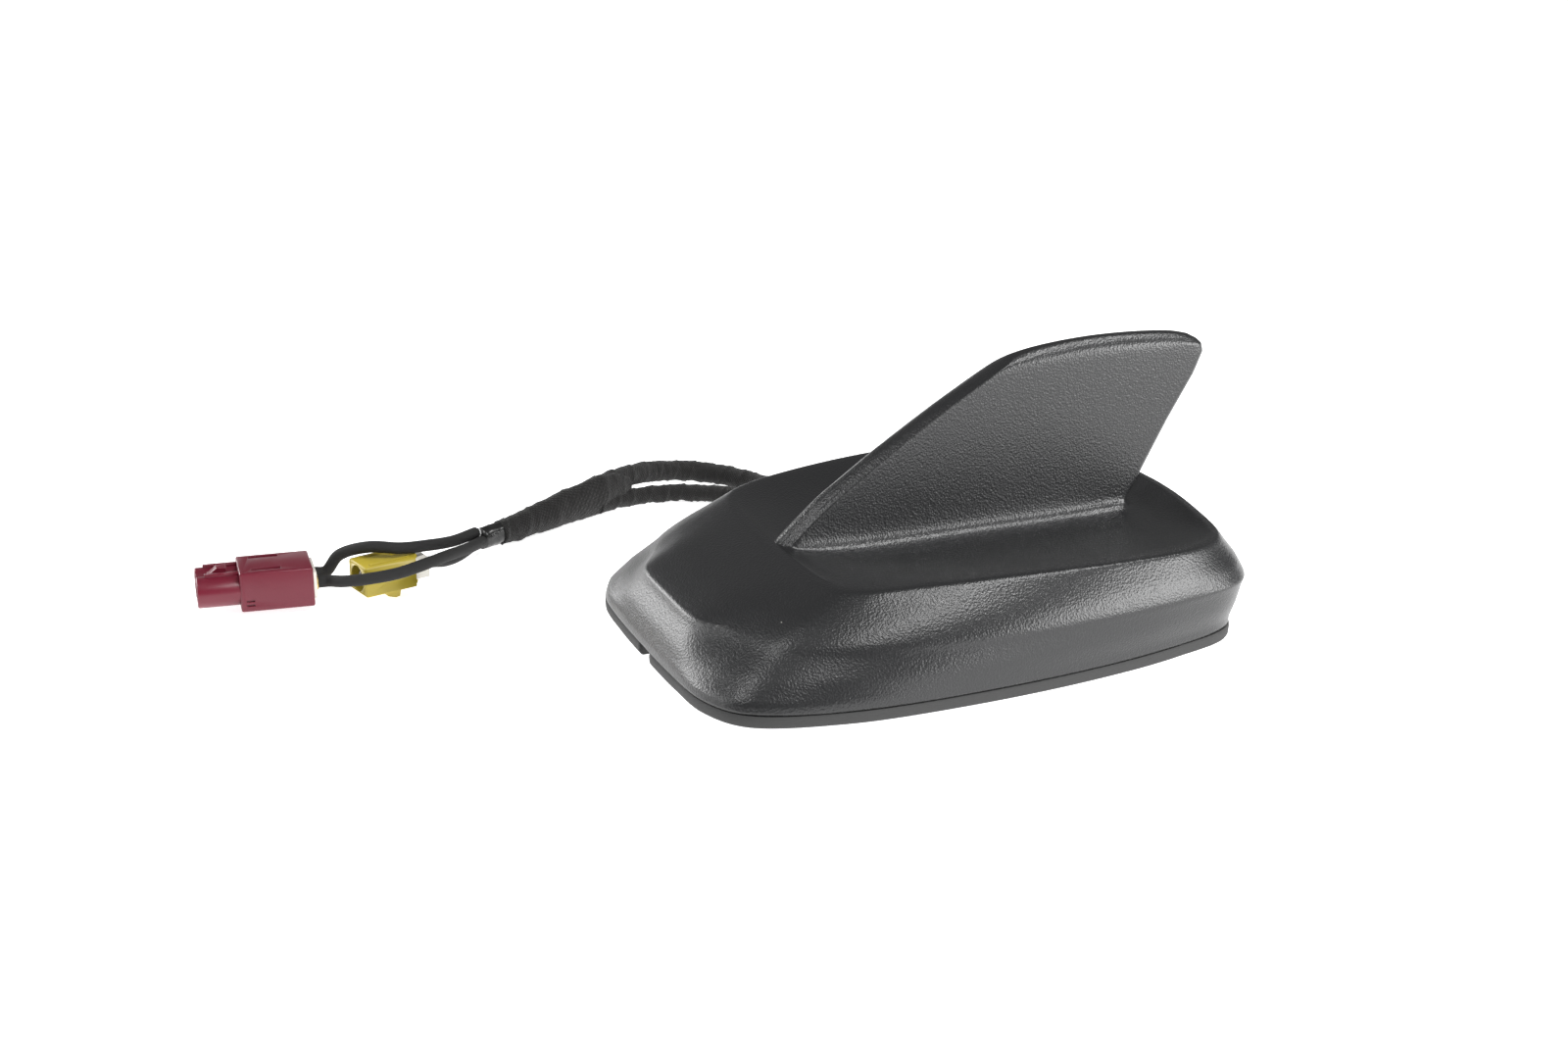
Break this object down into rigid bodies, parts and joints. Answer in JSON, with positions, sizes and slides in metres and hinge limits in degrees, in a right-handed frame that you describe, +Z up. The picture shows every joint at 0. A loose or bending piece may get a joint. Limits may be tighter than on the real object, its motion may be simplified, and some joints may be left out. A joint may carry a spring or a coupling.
{
  "type": "vehicle roof antenna",
  "caption": "Wide shark-fin roof antenna on a cast base with perimeter seal, clamp bolt and claw, and taped coax pigtails ending in a twin and a single keyed plug.",
  "frame": {"origin": "centre of the bounding box of the antenna without its cords, at the level of the mounting boss's feet", "axes": "+X to the rear of the vehicle, -X at the low nose, +Y to the side the cords leave, +Z up"},
  "size_m": [0.2462, 0.2136, 0.0843],
  "materials": {
    "radome_plastic": "fine moulded grain, charcoal",
    "seal_rubber": "smooth moulded rubber",
    "cast_alloy": "as die cast",
    "foam_rubber": "closed-cell foam",
    "zinc_steel": "zinc plated",
    "dark_steel": "dark zinc flake",
    "board_laminate": "solder mask",
    "patch_ceramic": "unglazed ceramic",
    "contact_brass": "plated brass",
    "tinned_sheet": "tinned",
    "cloth_tape": "fleece harness tape",
    "sleeve_plastic": "shrunk sleeve",
    "coax_jacket": "satin jacket",
    "violet_plastic": "moulded, red-violet",
    "yellow_plastic": "moulded, ochre yellow",
    "white_plastic": "moulded, off-white"
  },
  "bodies": {
    "antenna": {"radome": "radome_plastic", "perimeter_seal": "seal_rubber", "base_plate": "cast_alloy", "hole_gasket": "foam_rubber", "thread_insert": "zinc_steel", "main_board": "board_laminate", "board_screw_1": "dark_steel", "board_screw_2": "dark_steel", "board_screw_3": "dark_steel", "board_screw_4": "dark_steel", "radome_screw_1": "dark_steel", "radome_screw_2": "dark_steel", "radome_screw_3": "dark_steel", "radome_screw_4": "dark_steel", "satellite_patch": "patch_ceramic", "satellite_feed_pin": "contact_brass", "navigation_patch": "patch_ceramic", "navigation_feed_pin": "contact_brass", "shield_can_radio": "tinned_sheet", "shield_can_phone": "tinned_sheet", "fin_board": "board_laminate", "contact_spring_1": "contact_brass", "contact_spring_2": "contact_brass", "second_element": "tinned_sheet", "cable_boot": "seal_rubber", "tape_branch_a": "cloth_tape", "tape_branch_b": "cloth_tape", "tape_trunk": "cloth_tape", "bundle_sleeve": "sleeve_plastic", "double_housing": "violet_plastic", "contact_near": "tinned_sheet", "centre_pin_near": "contact_brass", "ferrule_near": "contact_brass", "contact_far": "tinned_sheet", "centre_pin_far": "contact_brass", "ferrule_far": "contact_brass", "single_housing": "yellow_plastic", "contact_single": "tinned_sheet", "centre_pin_single": "contact_brass", "ferrule_single": "contact_brass", "coax_far": "coax_jacket", "coax_near": "coax_jacket", "coax_single": "coax_jacket"},
    "claw": {"clamp_claw": "zinc_steel"},
    "bolt": {"clamp_bolt": "dark_steel"},
    "twin_lock": {"double_lock": "white_plastic"},
    "solo_lock": {"single_lock": "white_plastic"}
  },
  "joints": [
    {"name": "claw_lift", "type": "slide", "parent": "antenna", "child": "claw", "axis": [0, 0, 1], "range_m": [0, 0.003]},
    {"name": "bolt_turn", "type": "hinge", "parent": "claw", "child": "bolt", "pos_m": [0.004, 0, 0], "axis": [0, 0, 1], "range_deg": [0, 1080]},
    {"name": "twin_lock_pull", "type": "slide", "parent": "antenna", "child": "twin_lock", "axis": [0.9914, -0.1305, 0], "range_m": [0, 0.0025]},
    {"name": "solo_lock_pull", "type": "slide", "parent": "antenna", "child": "solo_lock", "axis": [0.9732, 0.23, 0], "range_m": [0, 0.002]}
  ],
  "couplings": [
    {"joint": "bolt_turn", "follows": "claw_lift", "rad_per_m": 6283.2}
  ]
}
